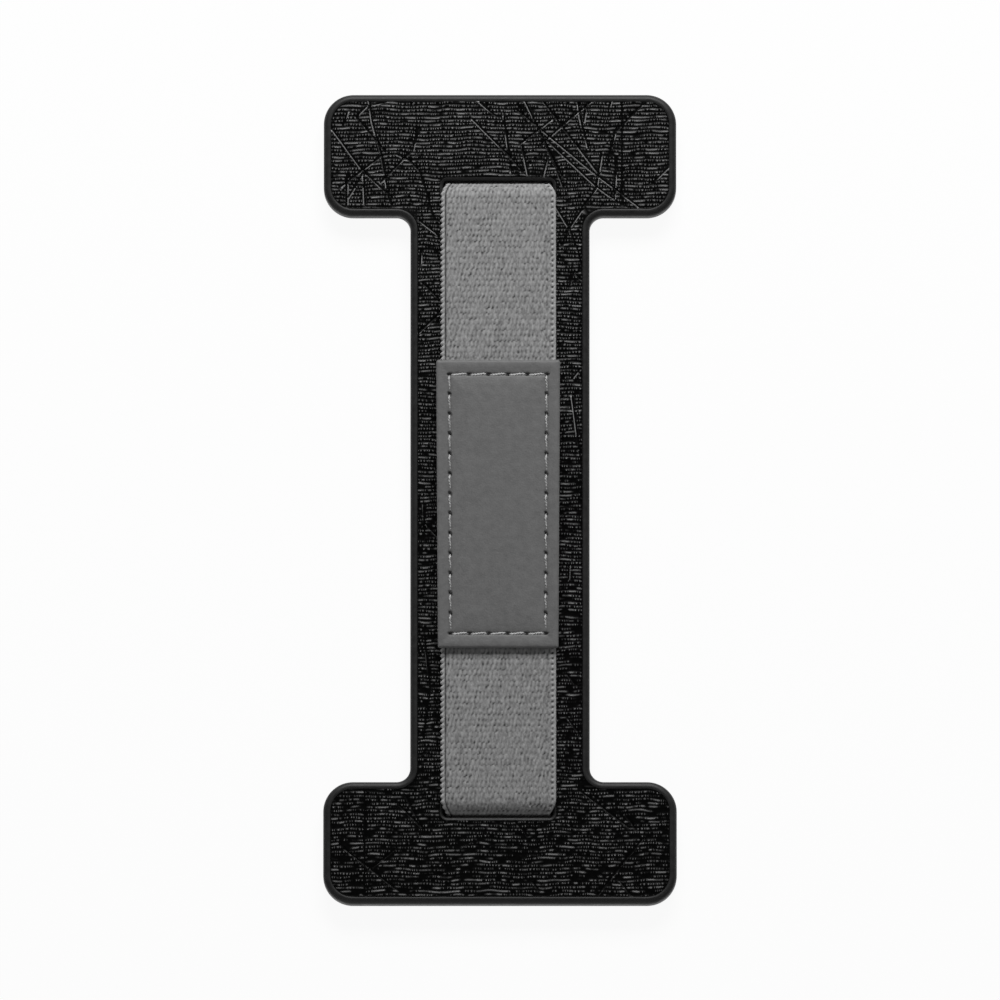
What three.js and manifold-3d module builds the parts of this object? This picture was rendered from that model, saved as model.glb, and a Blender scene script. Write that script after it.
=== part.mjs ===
// Tablet hand strap: a moulded plate that sticks to the back of a tablet, with an elastic
// band through two slots and a leather patch sewn to the band.
// Millimetres. +Z points away from the tablet, +Y runs along the strap, and the origin is
// the middle of the adhesive face.
import * as THREE from "three";
import { mergeVertices } from "three/addons/utils/BufferGeometryUtils.js";
import Module from "manifold-3d";

const wasm = await Module();
wasm.setup();

// Driving dimensions of the plate
const PLATE_LENGTH = 176;
const PLATE_WIDTH = 76;
const PLATE_THICKNESS = 4.1;
const BAR_LENGTH = 26.5;
const STEM_WIDTH = 38.6;
const OUTER_CORNER = 6.4;
const INNER_FILLET = 3;
const SHOULDER_RADIUS = 1.2;
const UNDERSIDE_BREAK = 0.4;
const CREST_WIDTH = 0.3;
const FIELD_SINK = 0.12;
const RIM_WALL = 1.6;

// Driving dimensions of the adhesive
const PAD_THICKNESS = 1;
const PAD_PROUD = 0.3;
const PAD_CLEARANCE = 0.3;

// Driving dimensions of the elastic band
const BAND_WIDTH = 25;
const BAND_NECK = 22.4;
const BAND_SHIFT = -0.4;
const BAND_THICKNESS = 1.3;
const NECK_REACH = 4;
const BEND_INSET = 22.6;
const UPPER_BEND = 3;
const LOWER_BEND = 1.3;
const DIVE_ANGLE = THREE.MathUtils.degToRad(80);
const TAIL_LENGTH = 13;
const ARCH_RISE = 1.2;
const LEFT_SELVEDGE = 1.1;
const RIGHT_SELVEDGE = 0.8;
const SELVEDGE_GROOVE = 0.3;
const GROOVE_DEPTH = 0.2;

// Clearances round the band
const RUN_CLEARANCE = 0.3;
const SIDE_CLEARANCE = 0.6;
const POCKET_CLEARANCE = 0.3;
const OUTER_LIP = 1.1;
const SLOT_CORNER = 0.9;

// Driving dimensions of the patch and its seam
const PATCH_LENGTH = 62.5;
const PATCH_WIDTH = 26.3;
const PATCH_SHIFT = -1.7;
const PATCH_THICKNESS = 1.1;
const PATCH_CORNER = 0.5;
const PATCH_GAP = 0.15;
const PATCH_EDGE = 0.25;
const FLANGE_CURL = 0.15;
const SEAM_VALLEY = 0.2;
const PILLOW_RISE = 0.25;
const SEAM_INSET_SIDE = 2.8;
const SEAM_INSET_END = 3.1;
const STITCH_LENGTH = 4.3;
const THREAD_DIAMETER = 0.5;
const THREAD_SEAT = 0.05;
const THREAD_LEG = 0.4;
const HOLE_CLEARANCE = 0.15;
const LOCK_GAP = 0.3;

// Fineness of the facets
const CORNER_STEPS = 4;
const ROUNDING_STEPS = 4;
const ARCH_STATIONS = 8;
const BEND_STATIONS = 5;
const PATCH_STATIONS = 12;
const THREAD_SIDES = 5;
const HOLE_STEPS = 2;
const HOLE_OVERRUN = 4;

// Heights worked out from the layers
const RECESS_TOP = PAD_THICKNESS;
const RIM_UNDERSIDE = PAD_PROUD;
const FACE = RIM_UNDERSIDE + PLATE_THICKNESS;
const POCKET_TOP = RECESS_TOP + BAND_THICKNESS + POCKET_CLEARANCE;
const INNER_LIP = UPPER_BEND - BAND_THICKNESS / 2 - RUN_CLEARANCE;
const SLOT_NOSE = LOWER_BEND - BAND_THICKNESS / 2 - POCKET_CLEARANCE;
const QUARTER = Math.PI / 2;

// A three.js geometry as a closed solid that can be joined and cut.
function toSolid(geometry) {
  const bare = new THREE.BufferGeometry();
  bare.setAttribute("position", geometry.getAttribute("position"));
  bare.setIndex(geometry.index);
  const merged = mergeVertices(bare, 1e-4);
  const mesh = new wasm.Mesh({
    numProp: 3,
    vertProperties: new Float32Array(merged.attributes.position.array),
    triVerts: new Uint32Array(merged.index.array),
  });
  return new wasm.Manifold(mesh);
}

// A solid as a three.js geometry.
function toGeometry(solid) {
  const mesh = solid.getMesh();
  const geometry = new THREE.BufferGeometry();
  const positions = new THREE.BufferAttribute(mesh.vertProperties, 3);
  geometry.setAttribute("position", positions);
  geometry.setIndex(new THREE.BufferAttribute(mesh.triVerts, 1));
  geometry.computeVertexNormals();
  return geometry;
}

// Six times the volume that the triangles enclose, negative where they face inwards.
function signedVolume(points, faces) {
  let sum = 0;
  for (const [a, b, c] of faces) {
    sum += points[a].dot(new THREE.Vector3().crossVectors(points[b], points[c]));
  }
  return sum;
}

// The triangles that close a ring of points, all turned so that they run along the ring's
// own order, or against it.
function capFaces(ring, flatten, offset, along) {
  const flat = THREE.ShapeUtils.triangulateShape(ring.map(flatten), []);
  const faces = flat.map((face) => face.map((i) => i + offset));
  const first = (face) => face.some((a, i) => a === offset && face[(i + 1) % 3] === offset + 1);
  return faces.some(first) === along ? faces : faces.map(turned);
}

// A closed body through rings that have as many points each. The ends are capped, or the
// last ring joins the first one.
function loft(rings, { closed = false, flatten = fromAbove } = {}) {
  const count = rings[0].length;
  const points = rings.flat();
  const faces = [];
  const spans = closed ? rings.length : rings.length - 1;
  for (let i = 0; i < spans; i++) {
    const here = i * count;
    const next = ((i + 1) % rings.length) * count;
    for (let j = 0; j < count; j++) {
      const k = (j + 1) % count;
      faces.push([here + j, here + k, next + k]);
      faces.push([here + j, next + k, next + j]);
    }
  }
  if (!closed) {
    faces.push(...capFaces(rings[0], flatten, 0, false));
    faces.push(...capFaces(rings.at(-1), flatten, (rings.length - 1) * count, true));
  }
  const outward = signedVolume(points, faces) > 0 ? faces : faces.map(turned);
  const geometry = new THREE.BufferGeometry().setFromPoints(points);
  geometry.setIndex(outward.flat());
  return geometry;
}

const fromAbove = (point) => new THREE.Vector2(point.x, point.y);
const fromTheEnd = (point) => new THREE.Vector2(point.x, point.z);
const turned = ([a, b, c]) => [a, c, b];

// The I-shaped outline of the plate, moved inwards by an inset. Its points keep their number.
function plateOutline(inset) {
  const width = PLATE_WIDTH / 2 - inset;
  const length = PLATE_LENGTH / 2 - inset;
  const stem = STEM_WIDTH / 2 - inset;
  const barEdge = PLATE_LENGTH / 2 - BAR_LENGTH + inset;
  const corner = OUTER_CORNER - inset;
  const fillet = INNER_FILLET + inset;
  const shape = new THREE.Shape();
  for (const turn of [0, 1]) {
    const side = turn === 0 ? 1 : -1;
    const start = turn * Math.PI;
    const arc = (x, y, radius, from, to) =>
      shape.absarc(side * x, side * y, radius, start + from, start + to, to < from);
    arc(stem + fillet, barEdge - fillet, fillet, Math.PI, QUARTER);
    arc(width - corner, barEdge + corner, corner, -QUARTER, 0);
    arc(width - corner, length - corner, corner, 0, QUARTER);
    arc(corner - width, length - corner, corner, QUARTER, Math.PI);
    arc(corner - width, barEdge + corner, corner, Math.PI, 3 * QUARTER);
    arc(-stem - fillet, barEdge - fillet, fillet, QUARTER, 0);
  }
  return shape.getPoints(CORNER_STEPS);
}

// The outline at a height, as a ring of points in space.
function plateRing(inset, height) {
  return plateOutline(inset).map((point) => new THREE.Vector3(point.x, point.y, height));
}

// How far a rounded lip has drawn back from its wall at a distance from its crest.
function lipBack(radius, belowCrest) {
  const reach = Math.max(0, radius - belowCrest);
  return radius - Math.sqrt(radius * radius - reach * reach);
}

// The band's course over the positive half of its length, as arcs and straights in the YZ
// plane: a long low arch over the plate, a bend over the inner lip of the slot, a slanting
// dive through the slot, a bend back and a flat tail.
const bendStart = PLATE_LENGTH / 2 - BEND_INSET;
const archRadius = (bendStart ** 2 + ARCH_RISE ** 2) / (2 * ARCH_RISE);
const archTilt = Math.asin(bendStart / archRadius);
const upperCentre = {
  y: bendStart - UPPER_BEND * Math.sin(archTilt),
  z: FACE - INNER_LIP,
};
const runEnd = upperCentre.z + UPPER_BEND * Math.cos(archTilt);
const archCentre = runEnd - archRadius * Math.cos(archTilt);
const tailHeight = RECESS_TOP + BAND_THICKNESS / 2;
const bendDrop =
  UPPER_BEND * (Math.cos(archTilt) - Math.cos(DIVE_ANGLE)) +
  LOWER_BEND * (1 - Math.cos(DIVE_ANGLE));
const diveLength = (runEnd - tailHeight - bendDrop) / Math.sin(DIVE_ANGLE);
const lowerCentre = {
  y:
    upperCentre.y +
    (UPPER_BEND + LOWER_BEND) * Math.sin(DIVE_ANGLE) +
    diveLength * Math.cos(DIVE_ANGLE),
  z: tailHeight + LOWER_BEND,
};
const slotInner = upperCentre.y + INNER_LIP;
const slotOuter = lowerCentre.y - SLOT_NOSE;
const tailEnd = lowerCentre.y + TAIL_LENGTH;

// The height of the arch over a place on the plate, off the middle of the band.
function archHeight(y, off) {
  return archCentre + Math.sqrt((archRadius + off) ** 2 - y * y);
}

// A solid in three.js geometry and a copy of it turned half round, for the two bars. Both
// lie in line with the band, a little off the plate's middle.
function bothEnds(geometry) {
  const here = toSolid(geometry);
  const there = toSolid(geometry.clone().rotateZ(Math.PI));
  return here.add(there).translate([BAND_SHIFT, 0, 0]);
}

// The outer form of the plate: a wall with a broken lower edge, a rounded shoulder, a crest
// and the textured field, which lies a little lower than the crest.
function plateBody() {
  const crest = FACE + FIELD_SINK;
  const rings = [
    plateRing(UNDERSIDE_BREAK, RIM_UNDERSIDE),
    plateRing(0, RIM_UNDERSIDE + UNDERSIDE_BREAK),
  ];
  for (let i = 0; i <= ROUNDING_STEPS; i++) {
    const angle = (i / ROUNDING_STEPS) * QUARTER;
    const inset = SHOULDER_RADIUS * (1 - Math.cos(angle));
    rings.push(plateRing(inset, crest - SHOULDER_RADIUS * (1 - Math.sin(angle))));
  }
  rings.push(plateRing(SHOULDER_RADIUS + CREST_WIDTH, FACE));
  return toSolid(loft(rings));
}

// A slot's outline in the positive bar, wider by the draw-back of its lips at a height.
function slotRing(height) {
  const below = FACE - height;
  const fromPocket = height - POCKET_TOP;
  const innerBack = lipBack(INNER_LIP, below);
  const outerBack = Math.max(lipBack(OUTER_LIP, below), lipBack(SLOT_NOSE, fromPocket));
  const sideBack = lipBack(OUTER_LIP, below);
  const halfWidth = BAND_NECK / 2 + SIDE_CLEARANCE + sideBack;
  const low = slotInner - innerBack;
  const high = slotOuter + outerBack;
  const corner = SLOT_CORNER + sideBack;
  const shape = new THREE.Shape();
  shape.absarc(halfWidth - corner, low + corner, corner, -QUARTER, 0);
  shape.absarc(halfWidth - corner, high - corner, corner, 0, QUARTER);
  shape.absarc(corner - halfWidth, high - corner, corner, QUARTER, Math.PI);
  shape.absarc(corner - halfWidth, low + corner, corner, Math.PI, 3 * QUARTER);
  const points = shape.getPoints(HOLE_STEPS);
  return points.map((point) => new THREE.Vector3(point.x, point.y, height));
}

// The space of one slot, from inside the pocket to above the face, with rolled lips.
function slotSpace() {
  const web = FACE - POCKET_TOP;
  const levels = 2 * ROUNDING_STEPS;
  const rings = [slotRing(POCKET_TOP)];
  rings[0].forEach((point) => (point.z -= POCKET_CLEARANCE));
  for (let i = 0; i <= levels; i++) {
    const share = (1 - Math.cos((i / levels) * Math.PI)) / 2;
    rings.push(slotRing(POCKET_TOP + share * web));
  }
  const above = slotRing(FACE);
  above.forEach((point) => (point.z += PLATE_THICKNESS));
  rings.push(above);
  return loft(rings);
}

// The pocket at the back of a bar that holds the band's tail.
function pocketSpace() {
  const width = BAND_WIDTH + 2 * POCKET_CLEARANCE;
  const length = tailEnd + POCKET_CLEARANCE - slotInner;
  const depth = POCKET_TOP - RECESS_TOP + PAD_THICKNESS / 2;
  const box = new THREE.BoxGeometry(width, length, depth);
  return box.translate(0, slotInner + length / 2, POCKET_TOP - depth / 2);
}

// The I-shaped space or body of the adhesive, from one height to another.
function padForm(inset, low, high) {
  return loft([plateRing(inset, low), plateRing(inset, high)]);
}

function basePlate() {
  const recess = toSolid(padForm(RIM_WALL, -PAD_THICKNESS, RECESS_TOP));
  const plate = plateBody().subtract(recess);
  return toGeometry(plate.subtract(bothEnds(pocketSpace())).subtract(bothEnds(slotSpace())));
}

function adhesivePad() {
  return padForm(RIM_WALL + PAD_CLEARANCE, 0, PAD_THICKNESS);
}

// The stations along the band: a place in the YZ plane, the downward tilt there and the
// distance from the middle of the dive.
function bandStations() {
  const stations = [];
  const add = (y, z, tilt, fromDive) => stations.push({ y, z, tilt, fromDive });
  const upperTurn = UPPER_BEND * (DIVE_ANGLE - archTilt);
  const lowerTurn = LOWER_BEND * DIVE_ANGLE;
  for (let i = 0; i < ARCH_STATIONS; i++) {
    const tilt = (archTilt * i) / ARCH_STATIONS;
    const before = archRadius * (archTilt - tilt);
    const y = archRadius * Math.sin(tilt);
    add(y, archHeight(y, 0), tilt, before + upperTurn + diveLength / 2);
  }
  for (let i = 0; i <= BEND_STATIONS; i++) {
    const share = i / BEND_STATIONS;
    const tilt = archTilt + share * (DIVE_ANGLE - archTilt);
    const y = upperCentre.y + UPPER_BEND * Math.sin(tilt);
    const z = upperCentre.z + UPPER_BEND * Math.cos(tilt);
    add(y, z, tilt, (1 - share) * upperTurn + diveLength / 2);
  }
  for (let i = 0; i <= BEND_STATIONS; i++) {
    const share = i / BEND_STATIONS;
    const tilt = DIVE_ANGLE * (1 - share);
    const y = lowerCentre.y - LOWER_BEND * Math.sin(tilt);
    const z = lowerCentre.z - LOWER_BEND * Math.cos(tilt);
    add(y, z, tilt, share * lowerTurn + diveLength / 2);
  }
  for (const share of [1 / 3, 1]) {
    const y = lowerCentre.y + share * TAIL_LENGTH;
    add(y, tailHeight, 0, lowerTurn + share * TAIL_LENGTH + diveLength / 2);
  }
  return stations;
}

// The band's width, which draws in to the neck where the band dives through a slot.
function bandWidth(fromDive) {
  const near = Math.max(0, 1 - fromDive / NECK_REACH);
  const draw = near * near * (3 - 2 * near);
  return BAND_WIDTH - (BAND_WIDTH - BAND_NECK) * draw;
}

// The band's section: a flat ribbon with rounded edges, and a groove inside each selvedge
// on both faces.
function bandSection(width) {
  const half = BAND_THICKNESS / 2;
  const edge = width / 2 - half;
  const grooves = [LEFT_SELVEDGE - width / 2, width / 2 - RIGHT_SELVEDGE];
  const shape = new THREE.Shape();
  const groove = (x, face, heading) => {
    shape.lineTo(x - (heading * SELVEDGE_GROOVE) / 2, face * half);
    shape.lineTo(x, face * (half - GROOVE_DEPTH));
    shape.lineTo(x + (heading * SELVEDGE_GROOVE) / 2, face * half);
  };
  shape.absarc(edge, 0, half, -QUARTER, QUARTER);
  groove(grooves[1], 1, -1);
  groove(grooves[0], 1, -1);
  shape.absarc(-edge, 0, half, QUARTER, 3 * QUARTER);
  groove(grooves[0], -1, 1);
  groove(grooves[1], -1, 1);
  return shape.getPoints(HOLE_STEPS);
}

// A section of the band set square to its course, on the half given by a sign.
function bandRing({ y, z, tilt, fromDive }, end) {
  const section = bandSection(bandWidth(fromDive));
  return section.map((point) => {
    const along = y + point.y * Math.sin(tilt);
    return new THREE.Vector3(point.x, end * along, z + point.y * Math.cos(tilt));
  });
}

function elasticBand() {
  const stations = bandStations();
  const far = stations.slice(1).reverse();
  const rings = [
    ...far.map((station) => bandRing(station, -1)),
    ...stations.map((station) => bandRing(station, 1)),
  ];
  const ribbon = toSolid(loft(rings, { flatten: fromTheEnd }));
  return toGeometry(ribbon.subtract(seamHoles()));
}

// The corners of the seam and its number of stitches on a side.
const seamWidth = PATCH_WIDTH - 2 * SEAM_INSET_SIDE;
const seamLength = PATCH_LENGTH - 2 * SEAM_INSET_END;
const stitchesAcross = Math.round(seamWidth / STITCH_LENGTH);
const stitchesAlong = Math.round(seamLength / STITCH_LENGTH);

// The holes of the seam in order round the patch, each with its heading.
function seamPlaces() {
  const places = [];
  const side = (x, y, dx, dy, count) => {
    for (let i = 0; i < count; i++) {
      const along = i / count;
      places.push({ x: x + dx * along, y: y + dy * along, dx, dy, corner: i === 0 });
    }
  };
  const low = PATCH_SHIFT - seamLength / 2;
  const high = PATCH_SHIFT + seamLength / 2;
  side(-seamWidth / 2, low, seamWidth, 0, stitchesAcross);
  side(seamWidth / 2, low, 0, seamLength, stitchesAlong);
  side(seamWidth / 2, high, -seamWidth, 0, stitchesAcross);
  side(-seamWidth / 2, high, 0, -seamLength, stitchesAlong);
  return places;
}

// Upright spaces for all the holes of the seam: a long hole for each stitch's bend, and a
// round one at each corner, where the thread turns.
function seamHoles() {
  const radius = THREAD_DIAMETER / 2 + HOLE_CLEARANCE;
  const long = new THREE.Shape();
  long.absarc(THREAD_LEG, 0, radius, -QUARTER, QUARTER);
  long.absarc(-THREAD_LEG, 0, radius, QUARTER, 3 * QUARTER);
  const round = new THREE.Shape();
  round.absarc(0, 0, THREAD_LEG + radius, 0, 4 * QUARTER);
  const depth = HOLE_OVERRUN * (BAND_THICKNESS + PATCH_THICKNESS);
  const low = archHeight(0, 0) - depth / 2;
  const options = { depth, bevelEnabled: false, curveSegments: HOLE_STEPS };
  const longHole = new THREE.ExtrudeGeometry(long, options);
  const roundHole = new THREE.ExtrudeGeometry(round, options);
  const solids = seamPlaces().map(({ x, y, dx, dy, corner }) => {
    const hole = (corner ? roundHole : longHole).clone();
    return toSolid(hole.rotateZ(Math.atan2(dy, dx)).translate(x, y, low));
  });
  return solids.reduce((all, solid) => all.add(solid));
}

// A ring of the patch: its outline drawn in by an inset at the sides and another at the
// ends, laid on the arch of the band at a height above the patch's seat.
function patchRing(insetSide, insetEnd, height) {
  const width = PATCH_WIDTH / 2 - insetSide;
  const length = PATCH_LENGTH / 2 - insetEnd;
  const corner = Math.max(PATCH_CORNER - insetSide, PATCH_EDGE / 2, 0);
  const across = Math.max(width - corner, 0);
  const shape = new THREE.Shape();
  for (const side of [1, -1]) {
    const start = side === 1 ? 0 : 2 * QUARTER;
    for (let i = 0; i <= PATCH_STATIONS; i++) {
      const y = (length - corner) * ((2 * i) / PATCH_STATIONS - 1);
      if (i === 0 && side === 1) shape.moveTo(across + corner, y);
      else shape.lineTo(side * (across + corner), side * y);
    }
    shape.absarc(side * across, side * (length - corner), corner, start, start + QUARTER);
    const half = start + QUARTER;
    shape.absarc(-side * across, side * (length - corner), corner, half, half + QUARTER);
  }
  const seat = BAND_THICKNESS / 2 + PATCH_GAP + height;
  return shape.getPoints(HOLE_STEPS).map((point) => {
    const y = point.y + PATCH_SHIFT;
    return new THREE.Vector3(point.x, y, archHeight(y, seat));
  });
}

// The patch: a leather rectangle, sewn a little off the middle of the band and flat below. Above, it curls up at its edge, sinks
// at the seam and rises softly inside it. Its edge is rounded on both faces.
function leatherPatch() {
  const middle = PATCH_WIDTH / 2 / SEAM_INSET_SIDE - PATCH_EDGE / 2;
  const edge = PATCH_EDGE / SEAM_INSET_SIDE;
  const top = PATCH_THICKNESS;
  const profile = [
    [middle, 0],
    [edge, 0],
    [0, PATCH_EDGE],
    [0, top + FLANGE_CURL - PATCH_EDGE],
    [edge, top + FLANGE_CURL],
    [0.45, top + FLANGE_CURL / 2],
    [0.8, top - SEAM_VALLEY],
    [1.2, top - SEAM_VALLEY],
    [1.6, top],
    [2.6, top + 0.7 * PILLOW_RISE],
    [middle, top + PILLOW_RISE],
  ];
  const rings = profile.map(([share, height]) =>
    patchRing(share * SEAM_INSET_SIDE, share * SEAM_INSET_END, height),
  );
  return toGeometry(toSolid(loft(rings)).subtract(seamHoles()));
}

// The layers between the two threads of the lockstitch, and how deep each thread dips.
const seamStack =
  BAND_THICKNESS + PATCH_GAP + PATCH_THICKNESS - SEAM_VALLEY + 2 * THREAD_SEAT + THREAD_DIAMETER;
const threadDip = (seamStack - THREAD_DIAMETER - LOCK_GAP) / 2;

// One thread of the lockstitch, as a closed tube. It lies on its face of the cloth from hole
// to hole, and at each hole it bends down and back towards the other thread.
function seamThread(off, dipSign) {
  const radius = THREAD_DIAMETER / 2;
  const places = seamPlaces();
  const line = [];
  places.forEach((place, i) => {
    const next = places[(i + 1) % places.length];
    const length = Math.hypot(next.x - place.x, next.y - place.y);
    const put = (along, dip) => {
      const x = place.x + ((next.x - place.x) * along) / length;
      const y = place.y + ((next.y - place.y) * along) / length;
      line.push(new THREE.Vector3(x, y, archHeight(y, off) + dipSign * dip));
    };
    const shoulder = THREAD_LEG + radius;
    put(0, threadDip);
    put(THREAD_LEG, threadDip - radius);
    put(THREAD_LEG, radius);
    put(shoulder, 0);
    put(length - shoulder, 0);
    put(length - THREAD_LEG, radius);
    put(length - THREAD_LEG, threadDip - radius);
  });
  const rings = line.map((point, i) => {
    const before = line[(i + line.length - 1) % line.length];
    const after = line[(i + 1) % line.length];
    const forward = new THREE.Vector3().subVectors(after, before).normalize();
    const side = new THREE.Vector3(-forward.y, forward.x, 0).normalize();
    const up = new THREE.Vector3().crossVectors(forward, side);
    const ring = [];
    for (let j = 0; j < THREAD_SIDES; j++) {
      const angle = (j / THREAD_SIDES) * 4 * QUARTER;
      const spoke = side.clone().multiplyScalar(radius * Math.cos(angle));
      ring.push(spoke.addScaledVector(up, radius * Math.sin(angle)).add(point));
    }
    return ring;
  });
  return loft(rings, { closed: true });
}

const halfBand = BAND_THICKNESS / 2;
const threadRadius = THREAD_DIAMETER / 2;
const needleOff = halfBand + PATCH_GAP + PATCH_THICKNESS - SEAM_VALLEY + THREAD_SEAT + threadRadius;
const bobbinOff = -halfBand - THREAD_SEAT - threadRadius;

// The finish of a sub-part, all greys of the same hue.
function material(grey, roughness) {
  const color = new THREE.Color(grey, grey, grey);
  return new THREE.MeshStandardMaterial({ color, roughness, metalness: 0 });
}

// The assembly
const strap = new THREE.Group();

function put(name, geometry, finish, shift = 0) {
  const mesh = new THREE.Mesh(geometry.translate(shift, 0, 0), finish);
  mesh.name = name;
  strap.add(mesh);
}

put("base_plate", basePlate(), material(0.02, 0.5));
put("adhesive_pad", adhesivePad(), material(0.05, 0.9));
put("elastic_band", elasticBand(), material(0.24, 0.9), BAND_SHIFT);
put("leather_patch", leatherPatch(), material(0.12, 0.7), BAND_SHIFT);
put("needle_thread", seamThread(needleOff, -1), material(0.35, 0.8), BAND_SHIFT);
put("bobbin_thread", seamThread(bobbinOff, 1), material(0.35, 0.8), BAND_SHIFT);

export default strap;
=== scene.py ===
import math
import random

import bmesh
import bpy
import numpy as np
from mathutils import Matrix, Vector
from mathutils.geometry import delaunay_2d_cdt


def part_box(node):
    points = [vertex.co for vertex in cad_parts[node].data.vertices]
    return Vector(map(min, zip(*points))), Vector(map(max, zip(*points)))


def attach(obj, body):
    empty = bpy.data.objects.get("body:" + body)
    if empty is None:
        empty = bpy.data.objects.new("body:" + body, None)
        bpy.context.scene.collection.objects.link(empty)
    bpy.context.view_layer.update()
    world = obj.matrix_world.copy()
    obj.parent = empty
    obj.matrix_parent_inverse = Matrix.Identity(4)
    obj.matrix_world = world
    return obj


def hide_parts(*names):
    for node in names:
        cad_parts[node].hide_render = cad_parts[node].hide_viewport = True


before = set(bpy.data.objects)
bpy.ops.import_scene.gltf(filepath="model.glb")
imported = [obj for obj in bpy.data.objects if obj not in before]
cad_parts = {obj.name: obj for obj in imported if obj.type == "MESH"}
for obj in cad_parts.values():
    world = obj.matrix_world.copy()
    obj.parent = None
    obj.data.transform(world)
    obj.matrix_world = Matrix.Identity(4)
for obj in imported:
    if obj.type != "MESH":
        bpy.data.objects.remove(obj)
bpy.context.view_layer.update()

# Sizes in millimetres, turned into metres where a mesh is made
MM = 0.001
QUARTER = math.pi / 2


def node_box(node):
    low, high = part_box(node)
    return np.array(low) / MM, np.array(high) / MM


PLATE_LOW, PLATE_HIGH = node_box("base_plate")
RECESS_TOP = node_box("adhesive_pad")[1][2]
BAND_LOW, BAND_HIGH = node_box("elastic_band")
PATCH_LOW, PATCH_HIGH = node_box("leather_patch")

# Plate
PLATE_WIDTH = PLATE_HIGH[0] - PLATE_LOW[0]
PLATE_LENGTH = PLATE_HIGH[1] - PLATE_LOW[1]
CREST = PLATE_HIGH[2]
UNDERSIDE = PLATE_LOW[2]
BAR_LENGTH = 26.5
STEM_WIDTH = 38.6
OUTER_CORNER = 6.4
INNER_FILLET = 3.0
SHOULDER_RADIUS = 1.2
CREST_WIDTH = 0.3
FIELD_SINK = 0.08
UNDERSIDE_BREAK = 0.4
RIM_WALL = 1.6
FACE = CREST - FIELD_SINK

# Band
BAND_WIDTH = BAND_HIGH[0] - BAND_LOW[0]
BAND_THICKNESS = 1.3
BAND_NECK = 22.4
BAND_SHIFT = -0.4
NECK_REACH = 4.0
BEND_INSET = 22.6
UPPER_BEND = 3.0
LOWER_BEND = 1.3
DIVE_ANGLE = math.radians(80)
TAIL_LENGTH = 13.0
ARCH_RISE = 1.2
RUN_CLEARANCE = 0.3
SIDE_CLEARANCE = 0.6
POCKET_CLEARANCE = 0.3
OUTER_LIP = 0.7
SLOT_CORNER = 0.9
POCKET_TOP = RECESS_TOP + BAND_THICKNESS + POCKET_CLEARANCE
INNER_LIP = UPPER_BEND - BAND_THICKNESS / 2 - RUN_CLEARANCE
SLOT_NOSE = LOWER_BEND - BAND_THICKNESS / 2 - POCKET_CLEARANCE

# The band's course, as arcs and straights in the YZ plane
bend_start = PLATE_LENGTH / 2 - BEND_INSET
arch_radius = (bend_start**2 + ARCH_RISE**2) / (2 * ARCH_RISE)
arch_tilt = math.asin(bend_start / arch_radius)
upper_y = bend_start - UPPER_BEND * math.sin(arch_tilt)
upper_z = FACE - INNER_LIP
run_end = upper_z + UPPER_BEND * math.cos(arch_tilt)
arch_centre = run_end - arch_radius * math.cos(arch_tilt)
tail_height = RECESS_TOP + BAND_THICKNESS / 2
bend_drop = UPPER_BEND * (math.cos(arch_tilt) - math.cos(DIVE_ANGLE))
bend_drop += LOWER_BEND * (1 - math.cos(DIVE_ANGLE))
dive_length = (run_end - tail_height - bend_drop) / math.sin(DIVE_ANGLE)
lower_y = upper_y + (UPPER_BEND + LOWER_BEND) * math.sin(DIVE_ANGLE)
lower_y += dive_length * math.cos(DIVE_ANGLE)
lower_z = tail_height + LOWER_BEND
slot_inner = upper_y + INNER_LIP
slot_outer = lower_y - SLOT_NOSE
tail_end = lower_y + TAIL_LENGTH


def arch_height(y, off):
    return arch_centre + np.sqrt((arch_radius + off) ** 2 - np.square(y))


# Noise that is the same in every run, from 0 to 1
def hashed(i, j):
    value = np.sin(i * 127.1 + j * 311.7) * 43758.5453
    return value - np.floor(value)


def row_noise(x, row, scale):
    """Smooth noise along x that differs from row to row."""
    at = x / scale
    cell = np.floor(at)
    share = at - cell
    share = share * share * (3 - 2 * share)
    return hashed(cell, row) * (1 - share) + hashed(cell + 1, row) * share


def smooth_step(low, high, value):
    share = np.clip((value - low) / (high - low), 0, 1)
    return share * share * (3 - 2 * share)


# Mesh helpers
class Surface:
    """Collects faces from several pieces of one surface and merges their shared points."""

    def __init__(self):
        self.points = []
        self.faces = []
        self.finish = []
        self.count = 0

    def add(self, points, faces, finish=0):
        self.points.append(np.asarray(points, float))
        self.faces.extend([tuple(i + self.count for i in face) for face in faces])
        self.finish.extend([finish] * len(faces))
        self.count += len(points)

    def wall(self, rings):
        """Quads between closed rings of equal length."""
        count = len(rings[0])
        faces = []
        for i in range(len(rings) - 1):
            here = i * count
            there = here + count
            for j in range(count):
                k = (j + 1) % count
                faces.append((here + j, here + k, there + k, there + j))
        self.add(np.concatenate(rings), faces)

    def build(self, name):
        points = np.concatenate(self.points)
        rounded = np.round(points, 5)
        unique, inverse = np.unique(rounded, axis=0, return_inverse=True)
        inverse = inverse.reshape(-1)
        faces = []
        finish = []
        for face, look in zip(self.faces, self.finish):
            kept = []
            for i in face:
                j = int(inverse[i])
                if j not in kept:
                    kept.append(j)
            if len(kept) > 2:
                faces.append(kept)
                finish.append(look)
        return make_object(name, unique, faces, finish)


def make_object(name, points, faces, finish=None):
    mesh = bpy.data.meshes.new(name)
    mesh.from_pydata((np.asarray(points) * MM).tolist(), [], faces)
    edit = bmesh.new()
    edit.from_mesh(mesh)
    bmesh.ops.recalc_face_normals(edit, faces=edit.faces)
    edit.to_mesh(mesh)
    edit.free()
    mesh.shade_smooth()
    if finish is not None:
        mesh.polygons.foreach_set("material_index", np.array(finish, dtype=np.int32))
    piece = bpy.data.objects.new(name, mesh)
    bpy.context.scene.collection.objects.link(piece)
    return piece


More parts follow.
